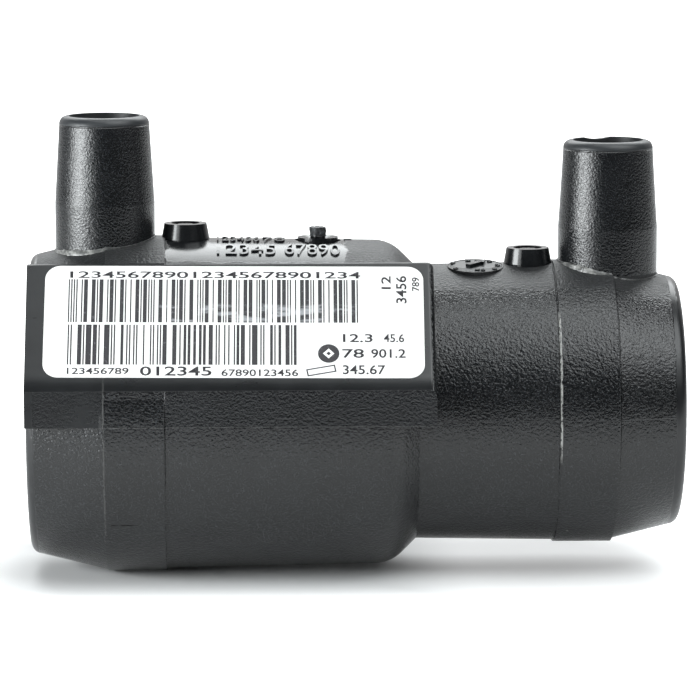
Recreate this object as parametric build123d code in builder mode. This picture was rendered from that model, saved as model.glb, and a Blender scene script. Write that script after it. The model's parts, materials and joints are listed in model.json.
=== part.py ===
from build123d import *

import os
from math import cos, radians, sin, tan

# Electrofusion reducer coupler: one moulded polyethylene body that joins a larger pipe to a smaller one,
# with a continuous heating wire laid in both sockets. Millimetres. X runs along the bore from the large
# socket (-X) to the small one (+X), Z points up through the terminals, and the origin is on the bore axis
# where the larger pipe's end meets the centre stop.

# ---- Sockets --------------------------------------------------------------------------------------------
large_bore_r = 16.15
small_bore_r = 12.65
large_depth = 42.0
small_depth = 39.0
stop_r = 10.4
stop_length = 3.0
mouth_chamfer = 0.6

# ---- Outer skin: a raised gripping band near each mouth, a conical nose outside it, and a shoulder -------
large_band_r = 21.85
small_band_r = 18.45
large_band_step = 0.25
small_band_step = 0.25
large_band_width = 7.6
small_band_width = 7.4
large_nose = 9.9
small_nose = 8.8
nose_step = 0.1
large_nose_drop = 2.45
small_nose_drop = 2.1
barrel_draft = 0.95
shoulder_x = 4.6
shoulder_angle = 45.0
shoulder_round = 5.0
rim_round = 1.2

# ---- Label pad: an upright foot above the parting plane and a facet that leans back under the label ------
pad_overhang = 9.9
pad_foot_height = 4.65
pad_foot_draft = 0.6
facet_lean = 38.3
facet_length = 18.65
pad_ledge = 1.1
pad_corner_round = 0.8
pad_edge_round = 0.25
label_length = 48.1
label_height = 16.4
label_corner_r = 2.0
label_thickness = 0.12
label_from_mouth = 2.35
label_above_crease = 1.85
label_turn = -0.5

# ---- Terminals ------------------------------------------------------------------------------------------
large_terminal_from_mouth = 9.7
small_terminal_from_mouth = 9.0
shroud_rise = 15.7
shroud_base_r = 6.46
shroud_lip_r = 5.76
shroud_foot_height = 4.4
shroud_lip_round = 1.0
shroud_root = 3.2
rim_dip_depth = 0.3
rim_dip_width = 3.6
rim_dip_bearing = 104.0
well_r = 4.55
well_depth = 13.0
well_draft = 1.0
pin_r = 2.0
pin_setback = 3.2
pin_nose_round = 0.6
pin_collar_r = 2.8
pin_collar_height = 1.2
pin_anchor_r = 3.0
pin_anchor_height = 1.0
pin_anchor_drop = 2.2

# ---- Heating wire ---------------------------------------------------------------------------------------
wire_d = 0.9
coil_turns = 8
coil_pitch = 1.8
coil_from_mouth = 13.2
winding_back = 0.1
rib_depth = 0.55
lead_slot_clearance = 0.1
insert_gap = 0.03

# ---- Fusion indicators ----------------------------------------------------------------------------------
large_indicator_from_mouth = 20.1
small_indicator_from_mouth = 19.4
indicator_rise = 2.0
indicator_top_r = 2.76
indicator_base_r = 3.13
indicator_cup_r = 1.85
indicator_cup_depth = 0.8
indicator_pin_r = 1.0
indicator_pin_gap = 0.05
indicator_pin_setback = 0.15
indicator_web = 1.2

# ---- Injection gate and date dial on top ----------------------------------------------------------------
gate_from_mouth = 37.3
gate_disc_r = 2.63
gate_disc_proud = 0.4
gate_dish = 0.4
gate_groove = 0.35
gate_groove_depth = 0.3
gate_stub_r = 1.0
gate_stub_height = 1.2
gate_root = 2.0
dial_from_shoulder = 11.1
dial_r = 3.65
dial_tilt = 7.0
dial_proud = 0.08
dial_depth = 1.2

# ---- Places worked out from the sizes above -------------------------------------------------------------
large_mouth_x = -large_depth
small_mouth_x = stop_length + small_depth
large_skin_r = large_band_r - large_band_step
small_skin_r = small_band_r - small_band_step
large_band_x = large_mouth_x + large_nose
small_band_x = small_mouth_x - small_nose
large_barrel_x = large_band_x + large_band_width
small_barrel_x = small_band_x - small_band_width
draft_slope = sin(radians(barrel_draft))


def large_barrel_r(x):
    return large_skin_r - draft_slope * (x - large_barrel_x)


def small_barrel_r(x):
    return small_skin_r - draft_slope * (small_barrel_x - x)


shoulder_top_r = large_barrel_r(shoulder_x)
shoulder_fall = shoulder_top_r - small_barrel_r(shoulder_x)
shoulder_run = shoulder_fall * cos(radians(shoulder_angle)) / sin(radians(shoulder_angle))
shoulder_end_x = shoulder_x + shoulder_run
shoulder_slant = shoulder_fall / sin(radians(shoulder_angle))
shoulder_bend_r = min(shoulder_round, 0.9 * shoulder_slant / tan(radians(shoulder_angle / 2)))

pad_crease_y = -(large_skin_r - pad_foot_height * sin(radians(pad_foot_draft)))
lean = radians(facet_lean)
pad_top_y = pad_crease_y + facet_length * sin(lean)
pad_top_z = pad_foot_height + facet_length * cos(lean)
facet = Plane(
    origin=(large_mouth_x, pad_crease_y, pad_foot_height),
    x_dir=(1, 0, 0),
    z_dir=(0, -cos(lean), sin(lean)),
)


def upright(x):
    """The plane through the bore axis, with its origin on the axis at x: its Y is the object's Z."""
    return Plane(origin=(x, 0, 0), x_dir=(1, 0, 0), z_dir=(0, -1, 0))


def stem(x):
    """A vertical axis that crosses the bore axis at x."""
    return Axis((x, 0, 0), (0, 0, 1))


class Terminal:
    """Heights of one terminal, worked out from the barrel that it stands on."""

    def __init__(self, x, band_r, bore_r):
        self.x = x
        self.rim_z = band_r + shroud_rise
        self.shroud_foot_z = band_r + shroud_foot_height
        self.root_z = band_r - shroud_root
        self.floor_z = self.rim_z - well_depth
        self.tip_z = self.rim_z - pin_setback
        self.foot_z = bore_r + wire_d + insert_gap
        self.anchor_z = band_r - pin_anchor_drop


class Indicator:
    """Heights of one fusion indicator, worked out from the barrel that it stands on."""

    def __init__(self, x, barrel_r, bore_r):
        self.x = x
        self.root_z = barrel_r - indicator_rise
        self.rim_z = barrel_r + indicator_rise
        self.cup_z = self.rim_z - indicator_cup_depth
        self.pin_top_z = self.rim_z - indicator_pin_setback
        self.pin_foot_z = bore_r + wire_d + indicator_web


class Winding:
    """One socket's share of the wire. Side is -1 in the large socket and +1 in the small one."""

    def __init__(self, side, mouth_x, bore_r, terminal_x):
        self.side = side
        self.bore_r = bore_r
        self.outer_r = bore_r + wire_d + winding_back
        self.centre_r = bore_r + wire_d / 2
        self.start_x = mouth_x - side * coil_from_mouth
        self.end_x = self.start_x - side * coil_turns * coil_pitch
        self.low_x = min(self.start_x, self.end_x)
        self.high_x = max(self.start_x, self.end_x)
        self.terminal_x = terminal_x


large_terminal = Terminal(large_mouth_x + large_terminal_from_mouth, large_band_r, large_bore_r)
small_terminal = Terminal(small_mouth_x - small_terminal_from_mouth, small_band_r, small_bore_r)
large_indicator_x = large_mouth_x + large_indicator_from_mouth
small_indicator_x = small_mouth_x - small_indicator_from_mouth
large_indicator = Indicator(large_indicator_x, large_barrel_r(large_indicator_x), large_bore_r)
small_indicator = Indicator(small_indicator_x, small_barrel_r(small_indicator_x), small_bore_r)
large_winding = Winding(-1, large_mouth_x, large_bore_r, large_terminal.x)
small_winding = Winding(1, small_mouth_x, small_bore_r, small_terminal.x)

gate_x = large_mouth_x + gate_from_mouth
gate_top_z = large_barrel_r(gate_x) + gate_disc_proud
gate_floor_z = large_barrel_r(gate_x) - gate_groove_depth
dial_x = shoulder_x + dial_from_shoulder
dial_distance = small_barrel_r(dial_x) + dial_proud
tilt = radians(dial_tilt)
dial_plane = Plane(
    origin=(dial_x, -dial_distance * sin(tilt), dial_distance * cos(tilt)),
    x_dir=(1, 0, 0),
    z_dir=(0, -sin(tilt), cos(tilt)),
)


def wire_route(clearance=0.0):
    """Centre line of the link between the windings: along one bore to the stop, down inside the wall, along
    the other. It leaves the larger bore only past the larger pipe's end."""
    rise = large_winding.centre_r - small_winding.centre_r
    return [
        (large_winding.high_x - coil_pitch / 2 - clearance, large_winding.centre_r),
        (wire_d / 2, large_winding.centre_r),
        (stop_length + rise / 2, small_winding.centre_r),
        (small_winding.low_x + coil_pitch / 2 + clearance, small_winding.centre_r),
    ]


# ---- Heating wire: lead, winding, link, winding and lead, all one wire ------------------------------------
with BuildPart() as wire:
    for w in (large_winding, small_winding):
        with BuildSketch(upright(0)):
            with BuildLine():
                rib_tops = []
                for turn in range(coil_turns):
                    rib_tops.append((w.low_x + turn * coil_pitch, w.bore_r + rib_depth))
                    rib_tops.append((w.low_x + (turn + 0.5) * coil_pitch, w.bore_r + insert_gap))
                rib_tops.append((w.high_x, w.bore_r + rib_depth))
                Polyline(*rib_tops, (w.high_x, w.outer_r), (w.low_x, w.outer_r), close=True)
            make_face()
        revolve(axis=Axis.X)
        with BuildSketch(Plane.YZ.offset(w.terminal_x)):
            with Locations((0, w.centre_r)):
                Circle(wire_d / 2)
        extrude(amount=-w.side * (abs(w.start_x - w.terminal_x) + coil_pitch / 2))
    with BuildLine(upright(0)) as link_line:
        FilletPolyline(*wire_route(), radius=wire_d)
    with BuildSketch(Plane(origin=link_line.line @ 0, z_dir=link_line.line % 0)):
        Circle(wire_d / 2)
    sweep(path=link_line.line)
wire.part.label = "heating_wire"


# ---- Terminal pins: brass, held by an anchoring flange in the wall and standing on the wire's lead ---------
def pin_outline(t):
    """Half section of a pin: embedded stem with its flange, collar on the well's floor, and free end."""
    return [
        (0, t.foot_z),
        (pin_r, t.foot_z),
        (pin_r, t.anchor_z),
        (pin_anchor_r, t.anchor_z),
        (pin_anchor_r, t.anchor_z + pin_anchor_height),
        (pin_r, t.anchor_z + pin_anchor_height),
        (pin_r, t.floor_z),
        (pin_collar_r, t.floor_z),
        (pin_collar_r, t.floor_z + pin_collar_height),
        (pin_r, t.floor_z + pin_collar_height),
        (pin_r, t.tip_z - pin_nose_round),
        (pin_r - pin_nose_round, t.tip_z),
        (0, t.tip_z),
    ]


def pin_pocket(t):
    """Half section of what the body leaves for the pin's embedded end, from the wire up into the well."""
    gap = insert_gap
    return [
        (0, t.foot_z - 2 * gap),
        (pin_r + gap, t.foot_z - 2 * gap),
        (pin_r + gap, t.anchor_z - gap),
        (pin_anchor_r + gap, t.anchor_z - gap),
        (pin_anchor_r + gap, t.anchor_z + pin_anchor_height + gap),
        (pin_r + gap, t.anchor_z + pin_anchor_height + gap),
        (pin_r + gap, t.floor_z + pin_collar_height),
        (0, t.floor_z + pin_collar_height),
    ]


pins = {}
for name, t in (("terminal_pin_large", large_terminal), ("terminal_pin_small", small_terminal)):
    with BuildPart() as pins[name]:
        with BuildSketch(upright(t.x)):
            with BuildLine():
                Polyline(*pin_outline(t), close=True)
            make_face()
        revolve(axis=stem(t.x))
    pins[name].part.label = name


# ---- Fusion indicators: small pins that the melt pushes up inside their cups -------------------------------
indicators = {}
for name, i in (("fusion_indicator_large", large_indicator), ("fusion_indicator_small", small_indicator)):
    with BuildPart() as indicators[name]:
        with BuildSketch(Plane.XY.offset(i.pin_foot_z)):
            with Locations((i.x, 0)):
                Circle(indicator_pin_r)
        extrude(amount=i.pin_top_z - i.pin_foot_z)
    indicators[name].part.label = name


# ---- Body -----------------------------------------------------------------------------------------------
with BuildPart() as body:
    # Turned outline of both barrels, their bands, noses and the shoulder.
    with BuildSketch(upright(0)) as outline:
        with BuildLine():
            Polyline(
                (large_mouth_x, 0),
                (large_mouth_x, large_band_r - nose_step - large_nose_drop),
                (large_band_x, large_band_r - nose_step),
                (large_band_x, large_band_r),
                (large_barrel_x, large_band_r),
                (large_barrel_x, large_skin_r),
                (shoulder_x, shoulder_top_r),
                (shoulder_end_x, small_barrel_r(shoulder_end_x)),
                (small_barrel_x, small_skin_r),
                (small_barrel_x, small_band_r),
                (small_band_x, small_band_r),
                (small_band_x, small_skin_r - nose_step),
                (small_mouth_x, small_skin_r - nose_step - small_nose_drop),
                (small_mouth_x, 0),
                close=True,
            )
        make_face()
        corners = outline.vertices().filter_by(lambda v: v.Y > stop_r).sort_by(Axis.X)
        fillet([corners[0], corners[-1]], rim_round)
        shoulder = outline.vertices().sort_by(lambda v: abs(v.X - shoulder_x))[0]
        fillet(shoulder, shoulder_bend_r)
    revolve(axis=Axis.X)

    # Label pad, flush with the large mouth and carried on past the shoulder, with its long top edge softened.
    with BuildSketch(Plane.YZ.offset(large_mouth_x)) as pad:
        with BuildLine():
            Polyline(
                (0, 0),
                (-large_skin_r, 0),
                (pad_crease_y, pad_foot_height),
                (pad_top_y, pad_top_z),
                (pad_top_y + pad_ledge, pad_top_z),
                (pad_top_y + pad_ledge, large_bore_r / 2),
                (0, large_bore_r / 2),
                close=True,
            )
        make_face()
        pad_top = pad.vertices().sort_by(lambda v: abs(v.X - pad_top_y) + abs(v.Y - pad_top_z))[0]
        fillet(pad_top, pad_edge_round)
    extrude(amount=large_depth + pad_overhang)
    with BuildSketch(Plane.YZ.offset(large_mouth_x)):
        with BuildLine():
            Polyline(
                (pad_crease_y, pad_foot_height),
                (pad_top_y, pad_top_z),
                (pad_top_y, large_band_r),
                (-large_band_r, large_band_r),
                (-large_band_r, pad_foot_height),
                close=True,
            )
        make_face()
    extrude(amount=large_depth + pad_overhang, mode=Mode.SUBTRACT)

    # Terminal shrouds: an upright foot, a drafted sleeve and a rounded lip.
    for t in (large_terminal, small_terminal):
        with BuildSketch(upright(t.x)) as sleeve:
            with BuildLine():
                Polyline(
                    (0, t.root_z),
                    (shroud_base_r, t.root_z),
                    (shroud_base_r, t.shroud_foot_z),
                    (shroud_lip_r, t.rim_z),
                    (0, t.rim_z),
                    close=True,
                )
            make_face()
            fillet(sleeve.vertices().group_by(Axis.Y)[-1].sort_by(Axis.X)[-1], shroud_lip_round)
        revolve(axis=stem(t.x))

    # Shallow dip in the small socket's rim, on the side away from the pad.
    dip_r = (rim_dip_width ** 2 / 4 + rim_dip_depth ** 2) / (2 * rim_dip_depth)
    bearing = radians(rim_dip_bearing)
    with BuildSketch(
        Plane(
            origin=(small_terminal.x, 0, small_terminal.rim_z - rim_dip_depth + dip_r),
            x_dir=(sin(bearing), -cos(bearing), 0),
            z_dir=(cos(bearing), sin(bearing), 0),
        )
    ):
        Circle(dip_r)
    extrude(amount=shroud_base_r, mode=Mode.SUBTRACT)

    # Indicator cups.
    for i in (large_indicator, small_indicator):
        with BuildSketch(upright(i.x)):
            with BuildLine():
                Polyline(
                    (0, i.root_z),
                    (indicator_base_r, i.root_z),
                    (indicator_base_r, i.rim_z - indicator_rise),
                    (indicator_top_r, i.rim_z),
                    (0, i.rim_z),
                    close=True,
                )
            make_face()
        revolve(axis=stem(i.x))

    # Injection gate: a dished disc in a shallow groove, with the cut-off stub at its centre.
    with BuildSketch(upright(gate_x)):
        with BuildLine():
            Polyline(
                (gate_disc_r, gate_floor_z),
                (gate_disc_r + gate_groove, gate_floor_z),
                (gate_disc_r + gate_groove, gate_top_z),
                (gate_disc_r, gate_top_z),
                close=True,
            )
        make_face()
    revolve(axis=stem(gate_x), mode=Mode.SUBTRACT)
    with BuildSketch(upright(gate_x)):
        with BuildLine():
            Polyline(
                (0, gate_top_z - gate_root),
                (gate_disc_r, gate_top_z - gate_root),
                (gate_disc_r, gate_top_z),
                (gate_stub_r, gate_top_z - gate_dish),
                (gate_stub_r, gate_top_z + gate_stub_height),
                (0, gate_top_z + gate_stub_height),
                close=True,
            )
        make_face()
    revolve(axis=stem(gate_x))

    # Date dial: a flat disc let into the small barrel, tipped a little towards the pad side.
    with BuildSketch(dial_plane):
        Circle(dial_r)
    extrude(amount=-dial_depth)

    # Bores, the stop between them and the chamfered mouths.
    with BuildSketch(upright(0)):
        with BuildLine():
            Polyline(
                (large_mouth_x, 0),
                (large_mouth_x, large_bore_r + mouth_chamfer),
                (large_mouth_x + mouth_chamfer, large_bore_r),
                (0, large_bore_r),
                (0, stop_r),
                (stop_length, stop_r),
                (stop_length, small_bore_r),
                (small_mouth_x - mouth_chamfer, small_bore_r),
                (small_mouth_x, small_bore_r + mouth_chamfer),
                (small_mouth_x, 0),
                close=True,
            )
        make_face()
    revolve(axis=Axis.X, mode=Mode.SUBTRACT)

    # Seats of the windings and the slots of their leads.
    slot_width = wire_d + 2 * lead_slot_clearance
    for w in (large_winding, small_winding):
        seat_length = w.high_x - w.low_x + 2 * insert_gap
        with BuildSketch(Plane.YZ.offset(w.low_x - insert_gap)):
            Circle(w.outer_r + insert_gap)
            Circle(w.bore_r / 2, mode=Mode.SUBTRACT)
        extrude(amount=seat_length, mode=Mode.SUBTRACT)
        lead_end_x = w.terminal_x + w.side * slot_width
        with BuildSketch(Plane.XY.offset(w.bore_r / 2)):
            with BuildLine():
                Polyline(
                    (lead_end_x, -slot_width / 2),
                    (w.start_x - w.side * coil_pitch, -slot_width / 2),
                    (w.start_x - w.side * coil_pitch, slot_width / 2),
                    (lead_end_x, slot_width / 2),
                    close=True,
                )
            make_face()
        extrude(amount=w.outer_r + insert_gap - w.bore_r / 2, mode=Mode.SUBTRACT)

    # Channel of the link: open along each bore, closed where it slants past the stop.
    route = wire_route(clearance=coil_pitch / 4)
    reach = insert_gap + wire_d / 2
    with BuildSketch(upright(0)):
        with BuildLine():
            Polyline(
                (route[0][0], large_winding.bore_r / 2),
                (route[0][0], route[0][1] + reach),
                (route[1][0] + reach / 2, route[1][1] + reach),
                (route[2][0] + reach / 2, route[2][1] + reach),
                (route[3][0], route[3][1] + reach),
                (route[3][0], small_winding.bore_r / 2),
                (stop_length, small_winding.bore_r / 2),
                (stop_length, small_winding.bore_r - lead_slot_clearance),
                (0, small_winding.bore_r - lead_slot_clearance),
                (0, large_winding.bore_r / 2),
                close=True,
            )
        make_face()
    extrude(amount=slot_width / 2, both=True, mode=Mode.SUBTRACT)

    # Connector wells, with the pockets of the pins' embedded ends below them.
    for t in (large_terminal, small_terminal):
        with BuildSketch(Plane.XY.offset(t.rim_z)):
            with Locations((t.x, 0)):
                Circle(well_r)
        extrude(amount=-well_depth, taper=well_draft, mode=Mode.SUBTRACT)
        with BuildSketch(upright(t.x)):
            with BuildLine():
                Polyline(*pin_pocket(t), close=True)
            make_face()
        revolve(axis=stem(t.x), mode=Mode.SUBTRACT)

    # Cups and holes of the indicator pins.
    for i in (large_indicator, small_indicator):
        with BuildSketch(Plane.XY.offset(i.rim_z)):
            with Locations((i.x, 0)):
                Circle(indicator_cup_r)
        extrude(amount=-indicator_cup_depth, mode=Mode.SUBTRACT)
        with BuildSketch(Plane.XY.offset(i.pin_foot_z)):
            with Locations((i.x, 0)):
                Circle(indicator_pin_r + indicator_pin_gap)
        extrude(amount=i.rim_z - i.pin_foot_z, mode=Mode.SUBTRACT)

    # The pad's top corner over the small barrel.
    pad_end_x = large_mouth_x + large_depth + pad_overhang
    pad_corner = (
        body.edges()
        .filter_by(Axis.Y)
        .sort_by(lambda e: abs(e.center().X - pad_end_x) + abs(e.center().Z - pad_top_z))[0]
    )
    fillet(pad_corner, pad_corner_round)
body.part.label = "coupler_body"


# ---- Label: a printed film on the pad's facet, stuck on a touch askew --------------------------------------
with BuildPart() as label:
    with BuildSketch(facet):
        with Locations(
            (label_from_mouth + label_length / 2, label_above_crease + label_height / 2)
        ):
            RectangleRounded(label_length, label_height, label_corner_r, rotation=label_turn)
    extrude(amount=label_thickness)
label.part.label = "label"


os.makedirs("parts", exist_ok=True)
export_step(body.part, "parts/coupler_body.step")
export_step(wire.part, "parts/heating_wire.step")
for name, pin in pins.items():
    export_step(pin.part, f"parts/{name}.step")
for name, indicator in indicators.items():
    export_step(indicator.part, f"parts/{name}.step")
export_step(label.part, "parts/label.step")
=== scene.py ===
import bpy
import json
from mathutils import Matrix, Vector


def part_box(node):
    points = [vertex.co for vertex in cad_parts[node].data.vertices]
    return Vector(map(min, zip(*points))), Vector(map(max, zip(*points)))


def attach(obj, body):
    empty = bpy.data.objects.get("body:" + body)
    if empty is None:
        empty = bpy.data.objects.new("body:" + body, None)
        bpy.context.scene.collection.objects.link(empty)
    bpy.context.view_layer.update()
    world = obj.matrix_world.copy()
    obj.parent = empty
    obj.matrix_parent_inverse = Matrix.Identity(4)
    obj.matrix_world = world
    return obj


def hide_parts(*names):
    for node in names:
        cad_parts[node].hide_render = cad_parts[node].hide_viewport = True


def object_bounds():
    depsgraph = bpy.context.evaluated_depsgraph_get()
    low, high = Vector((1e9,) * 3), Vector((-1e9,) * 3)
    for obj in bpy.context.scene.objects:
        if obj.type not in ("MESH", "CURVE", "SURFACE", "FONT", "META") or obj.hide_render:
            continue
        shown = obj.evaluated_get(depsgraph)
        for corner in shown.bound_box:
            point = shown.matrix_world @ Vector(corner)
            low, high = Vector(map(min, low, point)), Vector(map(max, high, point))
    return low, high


bl_info = {
    "name": "Electrofusion Reducer Coupler",
    "version": (1, 0, 0),
    "blender": (4, 5, 0),
    "location": "3D View > Sidebar > Coupler",
    "description": "Finish, label print, raised figures, windings and moulding flash of a reducer coupler",
    "category": "Object",
}

import json
import math
import random

import bpy
from mathutils import Matrix, Vector

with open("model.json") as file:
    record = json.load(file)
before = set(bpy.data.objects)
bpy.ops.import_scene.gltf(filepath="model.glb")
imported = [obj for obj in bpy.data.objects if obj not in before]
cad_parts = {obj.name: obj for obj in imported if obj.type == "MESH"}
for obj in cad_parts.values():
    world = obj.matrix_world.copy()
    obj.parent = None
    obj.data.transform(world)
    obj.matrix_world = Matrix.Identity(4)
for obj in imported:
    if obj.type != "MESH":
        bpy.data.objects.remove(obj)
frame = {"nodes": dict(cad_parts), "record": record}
cad_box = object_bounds()

MM = 0.001
MOUNTS = {mount["name"]: mount for mount in frame["record"]["mounts"]}
LARGE_BORE_R = MOUNTS["large_socket"]["dims"]["r_mm"] * MM
SMALL_BORE_R = MOUNTS["small_socket"]["dims"]["r_mm"] * MM
LARGE_TERMINAL_X = MOUNTS["terminal_large"]["pos_m"][0]
SMALL_TERMINAL_X = MOUNTS["terminal_small"]["pos_m"][0]
STOP_END_X = MOUNTS["small_socket"]["pos_m"][0]
BODY_LOW, BODY_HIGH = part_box("coupler_body")
LABEL_LOW, LABEL_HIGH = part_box("label")

# Places that the finishes and marks share, in the frame's own metres.
LARGE_BAND_X = (-32.1 * MM, -24.5 * MM)
SMALL_BAND_X = (25.8 * MM, 33.2 * MM)
PAD_END_X = 9.9 * MM
PAD_FOOT_Z = 4.65 * MM
LARGE_CUP_X = sum(corner.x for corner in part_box("fusion_indicator_large")) / 2
SMALL_CUP_X = sum(corner.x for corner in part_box("fusion_indicator_small")) / 2
LIP_OVER_MOUNT = 6.5 * MM
LARGE_LIP_Z = MOUNTS["terminal_large"]["pos_m"][2] + LIP_OVER_MOUNT
SMALL_LIP_Z = MOUNTS["terminal_small"]["pos_m"][2] + LIP_OVER_MOUNT
# Bearing round each sleeve where the foot flash is broadest and where its painted highlight falls.
FLASH_BEARING = math.radians(234)

# How far from the bore's axis a look at the body starts, which is well outside it.
OUTSIDE = 0.1

# The camera's place in metres, its turn in degrees and its lens in millimetres.
CAMERA_PLACE = (-0.01402, -0.54083, 0.08160)
CAMERA_TURN = (82.1236, 0.1146, -1.4423)
CAMERA_LENS = 215.22


# ---- Sizes and colours that a user may change -----------------------------------------------------------


def length(label, text, value_mm):
    """A length property, given in millimetres and kept in metres."""
    return bpy.props.FloatProperty(
        name=label, description=text, default=value_mm * MM, unit="LENGTH", precision=5
    )


def colour(label, text, value):
    return bpy.props.FloatVectorProperty(
        name=label, description=text, default=value, size=3, subtype="COLOR", min=0.0, max=1.0
    )


def ratio(label, text, value):
    return bpy.props.FloatProperty(
        name=label, description=text, default=value, min=0.0, max=1.0, subtype="FACTOR"
    )


class CouplerMoulding(bpy.types.PropertyGroup):
    polyethylene: colour("Polyethylene", "Carbon black polyethylene", (0.0088, 0.0096, 0.0106))
    # Colour of the pale specks and edge lines, and of the painted highlight on the sleeve flash.
    dust_and_highlight: colour("Dust", "Pale specks of dust and worn plastic", (0.5, 0.5, 0.48))
    grain_size: length("Grain size", "Width of one bump of the spark-eroded grain", 0.36)
    grain_height: length("Grain height", "Depth of the grain's pits", 0.052)
    sleeve_grain_size: length("Sleeve grain size", "Width of one bump on the terminal sleeves", 0.28)
    gloss_roughness: ratio("Gloss roughness", "Roughness of the bare polished places", 0.16)
    grain_roughness: ratio("Grain roughness", "Roughness of the grained skin", 0.11)
    brass: colour("Brass", "Turned brass of the terminal pins", (0.78, 0.58, 0.27))
    wire: colour("Wire", "Copper-nickel resistance wire", (0.62, 0.34, 0.18))


class CouplerLabel(bpy.types.PropertyGroup):
    film: colour("Film", "White label film", (0.85, 0.845, 0.83))
    ink: colour("Ink", "Black thermal print", (0.02, 0.018, 0.022))
    ink_thickness: length("Ink thickness", "Height of the print above the film", 0.012)
    film_thickness: length("Film thickness", "Thickness of the film on the pad", 0.12)
    turn: bpy.props.FloatProperty(
        name="Turn", description="How far the label is stuck askew on the pad",
        default=math.radians(-0.5), unit="ROTATION",
    )


class CouplerWinding(bpy.types.PropertyGroup):
    diameter: length("Wire diameter", "Diameter of the heating wire", 0.9)
    pitch: length("Pitch", "Distance from turn to turn", 1.8)
    turns: bpy.props.IntProperty(name="Turns", description="Turns in each socket", default=8, min=1)
    from_mouth: length("From mouth", "From a socket's mouth to the first turn", 13.2)


class CouplerRelief(bpy.types.PropertyGroup):
    figure_height: length("Figure height", "How far raised figures stand off the skin", 0.24)
    flash_width: length("Flash width", "Width of the thin flash where the tool parts", 0.15)
    gate_x: length("Gate place", "Place of the injection gate along the bore", -4.7)
    dial_x: length("Dial place", "Place of the date dial along the bore", 15.7)
    dial_radius: length("Dial radius", "Radius of the date dial's disc", 3.65)
    sleeve_radius: length("Sleeve radius", "Radius of a terminal sleeve at its foot", 6.46)


# ---- Small tools for modelling ------------------------------------------------------------------------


def deselect():
    if bpy.context.object and bpy.context.object.mode != "OBJECT":
        bpy.ops.object.mode_set(mode="OBJECT")
    bpy.ops.object.select_all(action="DESELECT")


def only(piece):
    """Makes one piece the selected and active one."""
    deselect()
    piece.select_set(True)
    bpy.context.view_layer.objects.active = piece
    return piece


def apply_modifiers(piece):
    only(piece)
    for modifier in list(piece.modifiers):
        bpy.ops.object.modifier_apply(modifier=modifier.name)


def place_in_mesh(piece, matrix=None):
    """Puts a piece's place into its mesh, so that its object sits at the origin."""
    only(piece)
    if matrix is not None:
        piece.matrix_world = matrix
    bpy.context.view_layer.update()
    bpy.ops.object.transform_apply(location=True, rotation=True, scale=True)


def in_edit(piece, *steps):
    """Runs edit-mode steps on all of a piece's mesh."""
    only(piece)
    bpy.ops.object.mode_set(mode="EDIT")
    bpy.ops.mesh.select_all(action="SELECT")
    for step in steps:
        step()
    bpy.ops.object.mode_set(mode="OBJECT")


def close_and_face_out(piece):
    in_edit(
        piece,
        lambda: bpy.ops.mesh.remove_doubles(threshold=1e-6),
        lambda: bpy.ops.mesh.normals_make_consistent(inside=False),
    )


def smooth(piece, degrees=35):
    only(piece)
    bpy.ops.object.shade_smooth_by_angle(angle=math.radians(degrees))


def join(pieces, name):
    deselect()
    for piece in pieces:
        piece.select_set(True)
    bpy.context.view_layer.objects.active = pieces[0]
    if len(pieces) > 1:
        bpy.ops.object.join()
    pieces[0].name = name
    return pieces[0]


def hand_over(piece, name, material):
    """Names and dresses a finished piece, and fixes it to the body."""
    piece.name = name
    piece.data.name = name
    piece.data.materials.clear()
    piece.data.materials.append(material)
    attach(piece, "root")
    return piece


def figures(text, low, high, turn=0.0, weight=0.0):
    """Flat figures as a mesh in the XY plane that fill the box from low to high, given in millimetres."""
    deselect()
    bpy.ops.object.text_add(location=(0, 0, 0), rotation=(0, 0, math.radians(turn)))
    words = bpy.context.object
    words.data.body = text
    words.data.resolution_u = 3
    words.data.offset = weight
    bpy.ops.object.convert(target="MESH")
    piece = bpy.context.object
    place_in_mesh(piece)
    corners = [Vector(corner) for corner in piece.bound_box]
    first, last = corners[0], corners[6]
    share = ((high[0] - low[0]) * MM / (last.x - first.x), (high[1] - low[1]) * MM / (last.y - first.y))
    piece.scale = (*share, 1.0)
    piece.location = (low[0] * MM - first.x * share[0], low[1] * MM - first.y * share[1], 0.0)
    place_in_mesh(piece)
    return piece


def meet_body(start, direction):
    """Point and outward direction where a line from start first meets the body."""
    body = frame["nodes"]["coupler_body"]
    found, place, normal, _ = body.ray_cast(Vector(start), Vector(direction))
    if not found:
        raise RuntimeError(f"nothing of the body on the line from {start}")
    return place, normal


def on_body(x, y):
    """Point and outward direction where an upright line first meets the body from above."""
    return meet_body((x, y, OUTSIDE), (0, 0, -1))


def beside_body(x, z, side):
    """Point where a level line along Y first meets the body from the given side."""
    return meet_body((x, side * OUTSIDE, z), (0, -side, 0))[0]


def thicken(piece, thickness, offset=1.0):
    solid = piece.modifiers.new("thickness", "SOLIDIFY")
    solid.thickness = thickness
    solid.offset = offset
    apply_modifiers(piece)


def turn_up(piece):
    """Turns a flat mesh over if its faces point down."""
    if sum(face.normal.z for face in piece.data.polygons) < 0:
        in_edit(piece, lambda: bpy.ops.mesh.flip_normals())


def leave_border(piece, width):
    """Takes the middle out of a flat face and leaves a border of the given width."""
    in_edit(
        piece,
        lambda: bpy.ops.mesh.inset(thickness=width, depth=0),
        lambda: bpy.ops.mesh.delete(type="FACE"),
    )


def axes_matrix(along, up, out, origin):
    """Matrix that carries X, Y and Z onto the given directions, and the origin onto the given point."""
    matrix = Matrix((along, up, out)).transposed().to_4x4()
    matrix.translation = origin
    return matrix


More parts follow.
